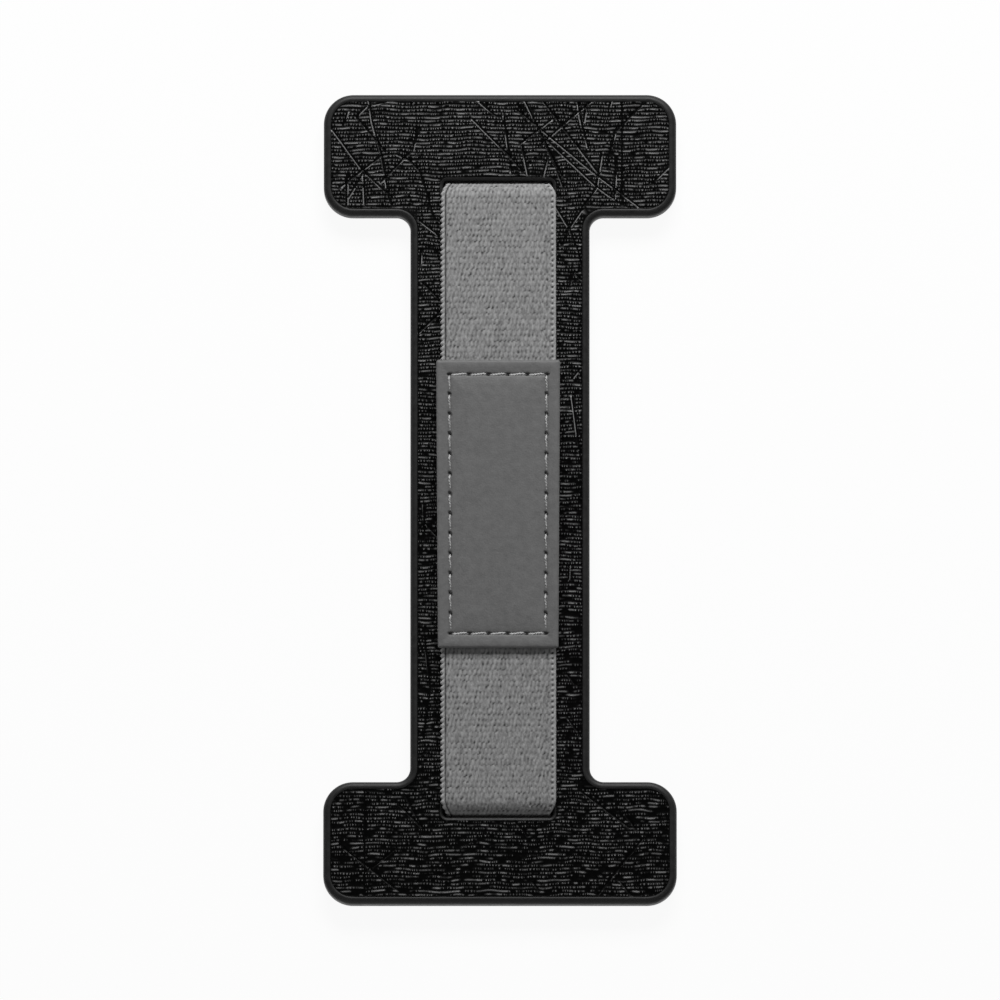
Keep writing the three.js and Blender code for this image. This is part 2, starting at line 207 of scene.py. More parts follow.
def give_attribute(piece, name, values):
    attribute = piece.data.attributes.new(name, "FLOAT", "POINT")
    attribute.data.foreach_set("value", np.asarray(values, dtype=np.float32))


def points_of(piece):
    points = np.empty(len(piece.data.vertices) * 3, dtype=np.float32)
    piece.data.vertices.foreach_get("co", points)
    return points.reshape(-1, 3).astype(float) / MM


def arc(x, y, radius, start, end, steps):
    angles = np.linspace(start, end, steps + 1)
    return np.stack([x + radius * np.cos(angles), y + radius * np.sin(angles)], axis=1)


def straight(start, end, steps):
    """Points between two others, without the ends."""
    share = np.linspace(0, 1, steps + 1)[1:-1, None]
    return np.asarray(start) * (1 - share) + np.asarray(end) * share


def joined(pieces, spacing_counts):
    """Arcs in order round a loop, with straight runs between them."""
    loop = []
    for i, piece in enumerate(pieces):
        following = pieces[(i + 1) % len(pieces)]
        loop.append(piece)
        loop.append(straight(piece[-1], following[0], spacing_counts[i % len(spacing_counts)]))
    return np.concatenate(loop)


def at_height(loop, z):
    return np.column_stack([loop, np.full(len(loop), z)])


# Plate
CORNER_STEPS = 20
RIM_STEP = 0.7
SHOULDER_STEPS = 8
LIP_STEPS = 8


def plate_outline(inset):
    width = PLATE_WIDTH / 2 - inset
    length = PLATE_LENGTH / 2 - inset
    stem = STEM_WIDTH / 2 - inset
    edge = PLATE_LENGTH / 2 - BAR_LENGTH + inset
    corner = OUTER_CORNER - inset
    fillet = INNER_FILLET + inset
    arcs = []
    for turn in (0, 1):
        side = 1 - 2 * turn
        begin = turn * math.pi

        def add(x, y, radius, start, end):
            arcs.append(arc(side * x, side * y, radius, begin + start, begin + end, CORNER_STEPS))

        add(stem + fillet, edge - fillet, fillet, math.pi, QUARTER)
        add(width - corner, edge + corner, corner, -QUARTER, 0)
        add(width - corner, length - corner, corner, 0, QUARTER)
        add(corner - width, length - corner, corner, QUARTER, math.pi)
        add(corner - width, edge + corner, corner, math.pi, 3 * QUARTER)
        add(-stem - fillet, edge - fillet, fillet, QUARTER, 0)
    counts = [
        (PLATE_WIDTH - STEM_WIDTH) / 2 - OUTER_CORNER - INNER_FILLET,
        BAR_LENGTH - 2 * OUTER_CORNER,
        PLATE_WIDTH - 2 * OUTER_CORNER,
        BAR_LENGTH - 2 * OUTER_CORNER,
        (PLATE_WIDTH - STEM_WIDTH) / 2 - OUTER_CORNER - INNER_FILLET,
        PLATE_LENGTH - 2 * BAR_LENGTH - 2 * INNER_FILLET,
    ]
    return joined(arcs, [max(2, round(count / RIM_STEP)) for count in counts])


def lip_back(radius, below):
    reach = max(0, radius - below)
    return radius - math.sqrt(max(0, radius * radius - reach * reach))


def slot_outline(height, end):
    below = FACE - height
    inner = lip_back(INNER_LIP, below)
    side = lip_back(OUTER_LIP, below)
    outer = max(side, lip_back(SLOT_NOSE, height - POCKET_TOP))
    half = BAND_NECK / 2 + SIDE_CLEARANCE + side
    low = slot_inner - inner
    high = slot_outer + outer
    corner = SLOT_CORNER + side
    steps = CORNER_STEPS // 2
    arcs = [
        arc(half - corner, low + corner, corner, -QUARTER, 0, steps),
        arc(half - corner, high - corner, corner, 0, QUARTER, steps),
        arc(corner - half, high - corner, corner, QUARTER, math.pi, steps),
        arc(corner - half, low + corner, corner, math.pi, 3 * QUARTER, steps),
    ]
    return end * joined(arcs, [3, 40]) + (BAND_SHIFT, 0)


def pocket_outline(end):
    half = BAND_WIDTH / 2 + POCKET_CLEARANCE
    far = tail_end + POCKET_CLEARANCE
    corners = [(half, slot_inner), (half, far), (-half, far), (-half, slot_inner)]
    return end * np.array(corners) + (BAND_SHIFT, 0)


def within(points, loop):
    """Whether each point lies inside a closed loop."""
    inside = np.zeros(len(points), bool)
    x, y = points[:, 0], points[:, 1]
    for (x0, y0), (x1, y1) in zip(loop, np.roll(loop, -1, axis=0)):
        if y0 == y1:
            continue
        crosses = (y0 > y) != (y1 > y)
        inside ^= crosses & (x < (x1 - x0) * (y - y0) / (y1 - y0) + x0)
    return inside


def region(surface, height, outer, holes, inner, finish):
    """Fills a flat region between loops with triangles, with further points inside it."""
    loops = [outer, *holes]
    flat = np.concatenate([*loops, inner] if len(inner) else loops)
    edges = []
    start = 0
    for loop in loops:
        count = len(loop)
        edges += [(start + i, start + (i + 1) % count) for i in range(count)]
        start += count
    made = delaunay_2d_cdt([Vector(p) for p in flat], edges, [], 0, 1e-7, False)
    flat = np.array([tuple(v) for v in made[0]])
    faces = np.array(made[2])
    centres = flat[faces].mean(axis=1)
    kept = within(centres, outer)
    for hole in holes:
        kept &= ~within(centres, hole)
    surface.add(np.column_stack([flat, height(flat)]), faces[kept].tolist(), finish)


# The relief of the field: broken ridges across the strap, and scratches over them.
# The waves that the ridges follow are given by their size and their turns along x and y.
RIDGE_PITCH = 0.79
RIDGE_HEIGHT = 0.17
RIDGE_WIDTH = 0.21
RIDGE_MIDDLE = 0.4
RIDGE_WAVES = ((0.13, 0.31, 0.12), (0.07, 0.83, -0.4))
RIDGE_STRAY = 0.34
STRAY_LENGTH = 2.3
RIDGE_STEP = 0.45
RIDGE_ROWS = (-1 / 3, 0, 1 / 3)
SCRATCH_DEPTH = 0.2
SCRATCH_HALF = 0.25
SCRATCH_STEP = 0.4
FIELD_INSET = SHOULDER_RADIUS + CREST_WIDTH
FIELD_MARGIN = 0.18

# Each long scratch is a run of points on the face
SCRATCHES = [
    [(-36.5, 80.9), (-29.6, 71.4), (-23, 65.2)],
    [(-25.5, 74.7), (-34.3, 67.9)],
    [(-29.4, 71.4), (-29.1, 64.1)],
    [(-29.6, 70.8), (-32.7, 65.6)],
    [(-28.3, 87.5), (-27.5, 81.9), (-25.5, 74.7), (-24, 65.7), (-23.3, 64.1)],
    [(-22.2, 74.9), (-19.5, 73.6), (-17.3, 71.3), (-16.2, 67.9), (-14.5, 61.8)],
    [(-21.1, 87.2), (-27.2, 85.8)],
    [(-5.7, 87.5), (-1.3, 83.6)],
    [(-5.7, 82.4), (1.9, 74.7), (4.7, 71.5)],
    [(0.9, 83), (2.5, 71)],
    [(5.3, 86.9), (8, 81.3), (11.9, 72.5), (13.6, 68)],
    [(3.6, 84.7), (9.7, 79.7), (20.1, 71), (30, 63.5)],
    [(10.2, 78), (20.7, 68), (24.6, 65.2)],
    [(9.1, 86.9), (13.6, 80.8), (21.3, 70.7)],
    [(20.2, 86.9), (15.1, 82.7), (8.6, 76.9)],
    [(16.8, 86.6), (17.4, 82.5), (19, 76.6)],
    [(26.3, 87.2), (26.3, 64.1)],
    [(21.8, 74.7), (20.7, 67.5), (14.7, 58.5), (13.4, 55.2)],
    [(12.4, 63), (15.1, 58.5), (16.8, 54), (17.7, 50.1)],
    [(36.7, 72.5), (32.8, 68.6)],
    [(-19, 61.8), (-13.4, 57.4)],
    [(25, 74.1), (24.6, 65.3)],
    [(-29.1, -63), (-29.1, -86.9)],
    [(-33.5, -76), (-22, -85)],
    [(18, -64), (27.5, -71.2)],
    [(30.5, -74), (21, -86)],
    [(-16.2, -30), (-15, -41), (-16.4, -52)],
    [(15.6, 22), (17.3, 9)],
]


def small_scratches(count, low, high, left, right, seed):
    """Short straight scratches inside a rectangle, most of them slanting down to the right."""
    draw = random.Random(seed)
    found = []
    for _ in range(count):
        x = draw.uniform(left, right)
        y = draw.uniform(low, high)
        length = draw.uniform(2, 9)
        angle = math.radians(draw.choice((-48, -52, -60, 42, 78, -85)) + draw.uniform(-8, 8))
        found.append([(x, y), (x + length * math.cos(angle), y + length * math.sin(angle))])
    return found


SCRATCHES += small_scratches(16, 64, 86, -35, 33, 3)
SCRATCHES += small_scratches(8, -86, -64, -35, 33, 5)
SCRATCHES += small_scratches(7, -58, 58, -18, -14, 8)
SCRATCHES += small_scratches(7, -58, 58, 13, 17, 9)


def field_points():
    """The rows of points that follow the ridges, inside the field."""
    columns = np.arange(-PLATE_WIDTH / 2, PLATE_WIDTH / 2, RIDGE_STEP)
    count = int(PLATE_LENGTH / RIDGE_PITCH / 2)
    rows = [k + part for k in range(-count, count + 1) for part in RIDGE_ROWS]
    x, row = np.meshgrid(columns, np.array(rows))
    shift = (hashed(np.round(row * 3), 7.0) - 0.5) * RIDGE_STEP
    x = x + shift
    y = (row + row_shift(x, np.round(row))) * RIDGE_PITCH
    y = y + ridge_wobble(x, y)
    return np.column_stack([x.ravel(), y.ravel()])


def ridge_wobble(x, y):
    return sum(size * np.sin(along_x * x + along_y * y) for size, along_x, along_y in RIDGE_WAVES)


def ridge_phase(points):
    """The place across the ridges, in pitches, so that each whole number is a ridge."""
    return (points[:, 1] - ridge_wobble(points[:, 0], points[:, 1])) / RIDGE_PITCH


def row_shift(x, row):
    """How far a ridge strays from its place along its length, as a share of the pitch."""
    return RIDGE_STRAY * (row_noise(x, row + 300, STRAY_LENGTH) - 0.5)


def scratch_place(points):
    """The distance to the nearest scratch, and whether a point lies on its side towards -Y."""
    best = np.full(len(points), 9.0)
    below = np.zeros(len(points))
    for scratch in SCRATCHES:
        for start, end in zip(scratch, scratch[1:]):
            start = np.asarray(start, float)
            along = np.asarray(end, float) - start
            share = np.clip(((points - start) @ along) / (along @ along), 0, 1)[:, None]
            away = points - start - share * along
            distance = np.linalg.norm(away, axis=1)
            nearer = distance < best
            best[nearer] = distance[nearer]
            below[nearer] = (away[:, 1] < 0)[nearer]
    return best, below


def scratch_points():
    """Points along the bottom, the shoulders and the outer feet of every scratch."""
    found = []
    for scratch in SCRATCHES:
        for start, end in zip(scratch, scratch[1:]):
            start = np.array(start, float)
            end = np.array(end, float)
            length = np.linalg.norm(end - start)
            forward = (end - start) / length
            side = np.array([-forward[1], forward[0]])
            share = np.arange(0, length, SCRATCH_STEP)[:, None]
            for off in (-2, -1, 0, 1, 2):
                found.append(start + share * forward + off * SCRATCH_HALF * side)
    return np.concatenate(found)


def plate_depth(points, inset):
    """How far points lie inside the plate's outline drawn in by an inset."""
    x = np.abs(points[:, 0])
    y = np.abs(points[:, 1])
    width = PLATE_WIDTH / 2 - inset
    length = PLATE_LENGTH / 2 - inset
    stem = STEM_WIDTH / 2 - inset
    edge = PLATE_LENGTH / 2 - BAR_LENGTH + inset
    corner = OUTER_CORNER - inset
    middle = (length + edge) / 2
    out_x = x - (width - corner)
    out_y = np.abs(y - middle) - ((length - edge) / 2 - corner)
    outside = np.hypot(np.maximum(out_x, 0), np.maximum(out_y, 0))
    bar = corner - outside - np.minimum(np.maximum(out_x, out_y), 0)
    stem_depth = np.where(y < middle, stem - x, -1.0)
    return np.maximum(bar, stem_depth)


def slot_depth(points):
    """How far points lie outside the lips of the two slots."""
    half = BAND_NECK / 2 + SIDE_CLEARANCE + OUTER_LIP
    low = slot_inner - INNER_LIP
    high = slot_outer + OUTER_LIP
    across = np.abs(points[:, 0] - BAND_SHIFT) - half
    y = np.abs(points[:, 1])
    along = np.maximum(low - y, y - high)
    return np.maximum(across, along)


def ridge_dashes(points):
    """How much of a ridge stands at each place along it, from 0 to 1."""
    x = points[:, 0]
    y = points[:, 1]
    row = np.round(ridge_phase(points))
    # Towards +Y the dashes stand denser and stronger, which also brightens the field's painted
    # highlights there
    higher = smooth_step(-60, 70, y)
    sparse = 0.24 - 0.17 * higher
    long_dash = row_noise(x + 13 * hashed(row, 3.0), row, 2.6)
    short_dash = row_noise(x, row + 500, 0.9)
    level = 0.4 * long_dash + 0.6 * short_dash
    strength = 0.5 + 0.08 * higher + 0.42 * row_noise(x, row + 900, 1.7)
    return smooth_step(sparse, sparse + 0.22, level) * strength


def ridge_relief(points):
    """The height of the broken ridges, from 0 in the valleys to 1 on the crests."""
    phase = ridge_phase(points)
    row = np.round(phase)
    off = phase - row - row_shift(points[:, 0], row)
    return np.exp(-np.square(off / RIDGE_WIDTH)) * ridge_dashes(points)


def scratch_relief(points):
    """0 away from the scratches, -1 at the bottom of one and above 0 on the edge that is raised."""
    distance, below = scratch_place(points)
    steps = distance / SCRATCH_HALF
    groove = np.maximum(1 - steps, 0)
    lip = np.maximum(1 - np.abs(steps - 1), 0) * (0.15 + 0.85 * below)
    uneven = row_noise(points[:, 0] + 0.7 * points[:, 1], np.round(points[:, 1] / 9) + 700, 1.6)
    # The raised edges stand higher towards +Y, and so does the painted highlight the field's colour
    # gives them
    raised_toward_top = 0.25 + 0.75 * smooth_step(-60, 60, points[:, 1])
    return 0.6 * lip * smooth_step(0.3, 0.85, uneven) * raised_toward_top - groove


def field_height(points):
    edge = plate_depth(points, FIELD_INSET)
    inside = np.minimum(edge, slot_depth(points))
    fade = smooth_step(0, 0.3, inside)
    scratch = scratch_relief(points)
    ridge = ridge_relief(points) * (1 - np.clip(-scratch, 0, 1))
    ditch = 0.012 * np.exp(-np.square((edge - 0.3) / 0.16))
    return FACE + fade * (RIDGE_HEIGHT * (ridge - RIDGE_MIDDLE) + SCRATCH_DEPTH * scratch) - ditch


def level(z):
    return lambda points: np.full(len(points), z)


def plate_rings():
    """Loops from the recess down to the underside, out and up over the rim to the field."""
    rings = [at_height(plate_outline(RIM_WALL), RECESS_TOP)]
    rings.append(at_height(plate_outline(RIM_WALL), UNDERSIDE))
    rings.append(at_height(plate_outline(UNDERSIDE_BREAK), UNDERSIDE))
    for share in (0.33, 0.66, 1):
        angle = share * QUARTER
        inset = UNDERSIDE_BREAK * (1 - math.sin(angle))
        rise = UNDERSIDE_BREAK * (1 - math.cos(angle))
        rings.append(at_height(plate_outline(inset), UNDERSIDE + rise))
    for i in range(SHOULDER_STEPS + 1):
        angle = i / SHOULDER_STEPS * QUARTER
        inset = SHOULDER_RADIUS * (1 - math.cos(angle))
        rings.append(at_height(plate_outline(inset), CREST - SHOULDER_RADIUS * (1 - math.sin(angle))))
    for share in (0.35, 0.7, 1):
        drop = FIELD_SINK * smooth_step(0, 1, share)
        rings.append(at_height(plate_outline(SHOULDER_RADIUS + CREST_WIDTH * share), CREST - drop))
    return rings


def make_plate():
    surface = Surface()
    rings = plate_rings()
    surface.wall(rings)
    slots = []
    eased = np.cos(np.linspace(0, math.pi, 2 * LIP_STEPS))
    heights = POCKET_TOP + (FACE - POCKET_TOP) * (1 - eased) / 2
    for end in (1, -1):
        lips = [at_height(slot_outline(h, end), h) for h in heights]
        surface.wall(lips)
        slots.append(lips[-1][:, :2])
        pocket = pocket_outline(end)
        surface.wall([at_height(pocket, RECESS_TOP), at_height(pocket, POCKET_TOP)])
        region(surface, level(POCKET_TOP), pocket, [lips[0][:, :2]], [], 0)
    pockets = [pocket_outline(1), pocket_outline(-1)]
    region(surface, level(RECESS_TOP), rings[0][:, :2], pockets, [], 0)
    outer = rings[-1][:, :2]
    grid = field_points()
    scratches = scratch_points()
    grid = grid[plate_depth(grid, FIELD_INSET) > FIELD_MARGIN]
    grid = grid[slot_depth(grid) > FIELD_MARGIN]
    grid = grid[scratch_place(grid)[0] > 2.4 * SCRATCH_HALF]
    scratches = scratches[plate_depth(scratches, FIELD_INSET) > FIELD_MARGIN]
    scratches = scratches[slot_depth(scratches) > FIELD_MARGIN]
    region(surface, field_height, outer, slots, np.concatenate([grid, scratches]), 1)
    piece = surface.build("plate_moulding")
    points = points_of(piece)
    flat = points[:, :2]
    top = points[:, 2] > FACE - 0.5
    scratch = scratch_relief(flat)
    inside = np.minimum(plate_depth(flat, FIELD_INSET), slot_depth(flat))
    bare = (1 - np.clip(-2.2 * scratch, 0, 1)) * smooth_step(0, 0.35, inside)
    # The dash and scratch values also steer the field's painted highlights
    give_attribute(piece, "dash", np.where(top, ridge_dashes(flat) * bare, 0))
    give_attribute(piece, "scratch", np.where(top, scratch, 0))
    give_attribute(piece, "stray", row_shift(flat[:, 0], np.round(ridge_phase(flat))))
    return piece


# Elastic band
WEAVE_STEP = 0.24
BAND_ACROSS = 104
BAND_UNDER = 14
EDGE_STEPS = 5
EDGE_RADIUS = 0.42
BEND_STEPS = 12
TAIL_STEPS = 13


def band_course():
    """Rows of y, z, tilt, distance to the dive and course length, from tail to tail."""
    rows = []
    upper_turn = UPPER_BEND * (DIVE_ANGLE - arch_tilt)
    lower_turn = LOWER_BEND * DIVE_ANGLE
    half_dive = dive_length / 2
    arch_length = arch_radius * arch_tilt
    count = round(arch_length / WEAVE_STEP)
    for i in range(count):
        tilt = arch_tilt * i / count
        y = arch_radius * math.sin(tilt)
        along = arch_radius * tilt
        before_dive = arch_length - along + upper_turn + half_dive
        rows.append((y, float(arch_height(y, 0)), tilt, before_dive, along))
    for i in range(BEND_STEPS + 1):
        share = i / BEND_STEPS
        tilt = arch_tilt + share * (DIVE_ANGLE - arch_tilt)
        y = upper_y + UPPER_BEND * math.sin(tilt)
        z = upper_z + UPPER_BEND * math.cos(tilt)
        before_dive = (1 - share) * upper_turn + half_dive
        rows.append((y, z, tilt, before_dive, arch_length + share * upper_turn))
    before = arch_length + upper_turn + dive_length
    for i in range(BEND_STEPS + 1):
        share = i / BEND_STEPS
        tilt = DIVE_ANGLE * (1 - share)
        y = lower_y - LOWER_BEND * math.sin(tilt)
        z = lower_z - LOWER_BEND * math.cos(tilt)
        rows.append((y, z, tilt, share * lower_turn + half_dive, before + share * lower_turn))
    before += lower_turn
    for share in np.linspace(0, 1, TAIL_STEPS + 1)[1:]:
        along = share * TAIL_LENGTH
        rows.append((lower_y + along, tail_height, 0, lower_turn + along + half_dive, before + along))
    rows = np.array(rows)
    mirrored = rows[:0:-1] * np.array([-1, 1, -1, 1, -1])
    return np.concatenate([mirrored, rows])


def band_width(from_dive):
    near = np.maximum(0, 1 - from_dive / NECK_REACH)
    return BAND_WIDTH - (BAND_WIDTH - BAND_NECK) * near * near * (3 - 2 * near)


# Weave cells: rows of slanted strokes across the band, with dark dots where they meet
STROKE_PITCH = 0.93
ROW_PITCH = 1.21
STROKE_SLANT = 0.25
LEFT_GROOVE = 1.15
RIGHT_GROOVE = 0.8
SECOND_GROOVE = 1.94
TOOTH_PITCH = 1.17
TOOTH_REACH = 0.6


def weave_relief(x, along):
    """The height of the elastic's weave, from 0 in the gaps to 1 on the strokes."""
    row = np.floor(along / ROW_PITCH)
    down = along / ROW_PITCH - row
    drift = 0.16 * np.sin(0.9 * x + 1.3 * row) + 0.5 * np.mod(row, 2) + 0.35 * hashed(row, 21.0)
    shifted = x / STROKE_PITCH - STROKE_SLANT * (down - 0.5) + drift
    column = np.floor(shifted)
    across = shifted - column
    height = 0.35 + 0.65 * hashed(column, row)
    stroke = np.sin(np.pi * across) ** 1.3 * (0.6 + 0.4 * np.sin(np.pi * down)) * height
    half_row = np.floor(2 * along / ROW_PITCH)
    half_column = np.floor(2.2 * shifted + 0.5 * half_row)
    speck = hashed(half_column, half_row + 300) - 0.5
    near_x = np.minimum(across, 1 - across) * STROKE_PITCH
    near_y = np.minimum(down, 1 - down) * ROW_PITCH
    depth = hashed(np.round(shifted), np.round(along / ROW_PITCH) + 77)
    dot = np.exp(-np.square(near_x / 0.2) - np.square(near_y / 0.27))
    return np.clip(0.5 + 0.3 * stroke + 0.16 * speck - (0.12 + 0.75 * depth**4) * dot, 0, 1)


def tooth_wave(along, inward):
    """The looped teeth of the left selvedge, from 0 in a gap to 1 on a loop."""
    phase = np.mod(along / TOOTH_PITCH - 0.45 * inward, 1)
    return np.sin(np.pi * phase) ** 0.9


def band_relief(x, along, half):
    """Weave in the middle, looped teeth at the left edge and a dotted column at the right."""
    relief = weave_relief(x, along)
    left = x + half
    right = half - x
    loops = 0.3 + 0.7 * tooth_wave(along, left)
    relief = np.where(left < LEFT_GROOVE - 0.15, loops, relief)
    relief = relief * (1 - np.exp(-np.square((left - LEFT_GROOVE) / 0.17)))
    dots = smooth_step(0.35, 0.85, np.abs(np.sin(np.pi * along / TOOTH_PITCH)))
    column = np.exp(-np.square((right - RIGHT_GROOVE) / 0.24))
    relief = relief * (1 - column) + column * dots
    second = np.exp(-np.square((right - SECOND_GROOVE) / 0.2))
    sparse = np.exp(-np.square((np.mod(along / (3 * ROW_PITCH), 1) - 0.5) / 0.09))
    relief = relief * (1 - 0.8 * second * sparse)
    return np.where(right < RIGHT_GROOVE - 0.32, 0.8, relief)


WEAVE_DEPTH = 0.22


def make_band():
    course = band_course()
    y, z, tilt, from_dive, along = course.T
    width = band_width(from_dive)
    half_thick = BAND_THICKNESS / 2
    rows = []
    for side in (1, -1):
        steps = BAND_ACROSS if side == 1 else BAND_UNDER
        grid = np.linspace(-1, 1, steps + 1)
        if side == 1:
            grooves = (LEFT_GROOVE - BAND_WIDTH / 2, BAND_WIDTH / 2 - RIGHT_GROOVE)
            places = [x + shift for x in grooves for shift in (-0.1, 0, 0.1)]
            extra = [place / (BAND_WIDTH / 2 - EDGE_RADIUS) for place in places]
            grid = np.sort(np.concatenate([grid, extra]))
        for u in grid[::side]:
            rows.append((u, 1.0 * side, 0.0))
        for i in range(1, EDGE_STEPS):
            angle = math.pi * i / EDGE_STEPS
            rows.append((side, side * math.cos(angle), math.sin(angle)))
    u, face, bulge = np.array(rows).T
    flat_half = (width / 2 - EDGE_RADIUS)[:, None]
    x = u[None, :] * flat_half + np.sign(u)[None, :] * bulge[None, :] * EDGE_RADIUS
    relief = band_relief(x, along[:, None], (width / 2)[:, None])
    exposed = np.where(face > 0, 1.0, 0.6)[None, :]
    woven = (np.abs(face) > 0.99)[None, :]
    off = face[None, :] * (half_thick - WEAVE_DEPTH * (1 - relief) * exposed * woven)
    inward = np.maximum(0, 1 - (x + width[:, None] / 2) / LEFT_GROOVE)
    gap = TOOTH_REACH * inward * (1 - tooth_wave(along[:, None], 1.15 * (1 - inward)))
    x = x + np.where(x < 0, gap, 0)
    points = np.stack([
        x + BAND_SHIFT,
        y[:, None] + off * np.sin(tilt)[:, None],
        z[:, None] + off * np.cos(tilt)[:, None],
    ], axis=2)
    across = len(u)
    count = len(y)
    faces = []
    for i in range(count - 1):
        for j in range(across):
            k = (j + 1) % across
            here = i * across
            there = here + across
            faces.append((here + j, here + k, there + k, there + j))
    faces.append(tuple(range(across)))
    faces.append(tuple(range((count - 1) * across, count * across)))
    piece = make_object("elastic_webbing", points.reshape(-1, 3), faces)
    # The weave's relief, which the band's colour also uses to paint shade in its gaps and pits
    give_attribute(piece, "crest", relief.reshape(-1))
    return piece


# Leather patch
PATCH_WIDTH = PATCH_HIGH[0] - PATCH_LOW[0]
PATCH_LENGTH = PATCH_HIGH[1] - PATCH_LOW[1]
PATCH_THICKNESS = 1.1
PATCH_GAP = 0.15
PATCH_CORNER = 0.5
SEAM_VALLEY = 0.2
PATCH_SHIFT = -1.7
SEAM_INSET_SIDE = 2.8
SEAM_INSET_END = 3.1
SEAM_SIDE = PATCH_WIDTH / 2 - SEAM_INSET_SIDE
SEAM_END = PATCH_LENGTH / 2 - SEAM_INSET_END
STITCHES_ACROSS = 5
STITCHES_ALONG = 13
PATCH_STEP = 0.18
THREAD_RADIUS = 0.25


def seam_points():
    """The needle holes, in order round the seam."""
    turns = [(-1, 1), (1, 1), (1, -1), (-1, -1)]
    corners = [(x * SEAM_SIDE, y * SEAM_END) for x, y in turns]
    counts = [STITCHES_ACROSS, STITCHES_ALONG, STITCHES_ACROSS, STITCHES_ALONG]
    holes = []
    for i, count in enumerate(counts):
        start = np.array(corners[i])
        end = np.array(corners[(i + 1) % 4])
        holes += [start + (end - start) * k / count for k in range(count)]
    return holes


HOLES = seam_points()
HOLE_HALF = 0.3
HOLE_LENGTH = 0.5
HOLE_DEPTH = 0.75
GROOVE_HALF = 0.26
GROOVE_SINK = 0.2
PATCH_TAPER = 0.014


def hole_depth(x, y):
    """How deep each place lies in a needle hole, from 0 to 1. Holes are long along the seam."""
    deep = np.zeros_like(x)
    for hx, hy in HOLES:
        upright = abs(abs(hx) - SEAM_SIDE) < 0.01 and abs(abs(hy) - SEAM_END) > 0.01
        dx, dy = x - hx, y - hy
        if upright:
            dx = dx + 0.35 * dy
        reach_x, reach_y = (HOLE_HALF, HOLE_LENGTH) if upright else (HOLE_LENGTH, HOLE_HALF)
        near = np.square(dx / reach_x) + np.square(dy / reach_y)
        deep = np.maximum(deep, np.exp(-near * near))
    return deep


def patch_height(x, y):
    """How far the patch's face lies above its seat, in its flattened plane."""
    side = PATCH_WIDTH / 2 - np.abs(x)
    end = PATCH_LENGTH / 2 - np.abs(y)
    inset = np.minimum(side / SEAM_INSET_SIDE, end / SEAM_INSET_END)
    shares = [0, 0.05, 0.12, 0.25, 0.45, 0.7, 0.85, 1, 1.15, 1.35, 1.7, 2.4, 4]
    drops = [-0.3, -0.1, 0.02, 0.07, 0.06, -0.02, -0.1, -0.15, -0.12, -0.02, 0.07, 0.15, 0.2]
    height = PATCH_THICKNESS + np.interp(inset, shares, drops)
    to_column = np.where(end > SEAM_INSET_END - 0.1, np.abs(side - SEAM_INSET_SIDE), 9)
    to_row = np.where(side > SEAM_INSET_SIDE - 0.1, np.abs(end - SEAM_INSET_END), 9)
    groove = np.exp(-np.square(np.minimum(to_column, to_row) / GROOVE_HALF))
    return height - GROOVE_SINK * groove - HOLE_DEPTH * hole_depth(x, y)


def make_patch():
    across = round(PATCH_WIDTH / PATCH_STEP)
    along = round(PATCH_LENGTH / PATCH_STEP)
    x, y = np.meshgrid(np.linspace(-1, 1, across + 1), np.linspace(-1, 1, along + 1))
    x = x * PATCH_WIDTH / 2
    y = y * PATCH_LENGTH / 2
    corner_x = np.maximum(np.abs(x) - (PATCH_WIDTH / 2 - PATCH_CORNER), 0)
    corner_y = np.maximum(np.abs(y) - (PATCH_LENGTH / 2 - PATCH_CORNER), 0)
    reach = np.hypot(corner_x, corner_y)
    pull = np.where((corner_x > 0) & (corner_y > 0), PATCH_CORNER / np.maximum(reach, PATCH_CORNER), 1)
    x = np.sign(x) * (np.minimum(np.abs(x), PATCH_WIDTH / 2 - PATCH_CORNER) + corner_x * pull)
    y = np.sign(y) * (np.minimum(np.abs(y), PATCH_LENGTH / 2 - PATCH_CORNER) + corner_y * pull)
    top = patch_height(x, y)
    grain = row_noise(x * 1.3, np.floor(y / 0.3), 0.4) - 0.5
    side = np.minimum(PATCH_WIDTH / 2 - np.abs(x), PATCH_LENGTH / 2 - np.abs(y))
    top = top + 0.012 * grain
    bottom = 0.25 * (1 - smooth_step(0, 0.4, side))
    border = list(range(across + 1))
    border += [i * (across + 1) + across for i in range(1, along + 1)]
    border += [along * (across + 1) + j for j in range(across - 1, -1, -1)]
    border += [i * (across + 1) for i in range(along - 1, 0, -1)]
    faces = []
    for i in range(along):
        for j in range(across):
            a = i * (across + 1) + j
            faces.append((a, a + 1, a + across + 2, a + across + 1))
    count = (across + 1) * (along + 1)
    under = {place: count + i for i, place in enumerate(border)}
    for i, here in enumerate(border):
        there = border[(i + 1) % len(border)]
        faces.append((there, here, under[here], under[there]))
    for i in range(along):
        near = [i * (across + 1), i * (across + 1) + across]
        far = [(i + 1) * (across + 1) + across, (i + 1) * (across + 1)]
        if i == 0:
            near = list(range(across + 1))
        if i == along - 1:
            far = [along * (across + 1) + j for j in range(across, -1, -1)]
        faces.append(tuple(under[k] for k in reversed(near + far)))
    seat = BAND_THICKNESS / 2 + PATCH_GAP
    flat = x.ravel(), y.ravel()
    x = np.concatenate([flat[0], flat[0][border]])
    y = np.concatenate([flat[1], flat[1][border]])
    height = np.concatenate([top.ravel(), bottom.ravel()[border]])
    x = x * (1 + PATCH_TAPER * y / (PATCH_LENGTH / 2))
    lifted = arch_height(y + PATCH_SHIFT, seat + height)
    points = np.column_stack([x + BAND_SHIFT, y + PATCH_SHIFT, lifted])
    piece = make_object("leather_pad", points, faces)
    # The needle holes' depth, which the leather's colour uses to paint shade inside them
    holes = np.concatenate([hole_depth(*flat), np.zeros(len(border))])
    give_attribute(piece, "hole", holes)
    return piece


# Threads
PLY_SIDES = 7
TWIST_PITCH = 1.3
STITCH_STEPS = 18
NEEDLE_DIP = 0.75
BOBBIN_DIP = -1.0


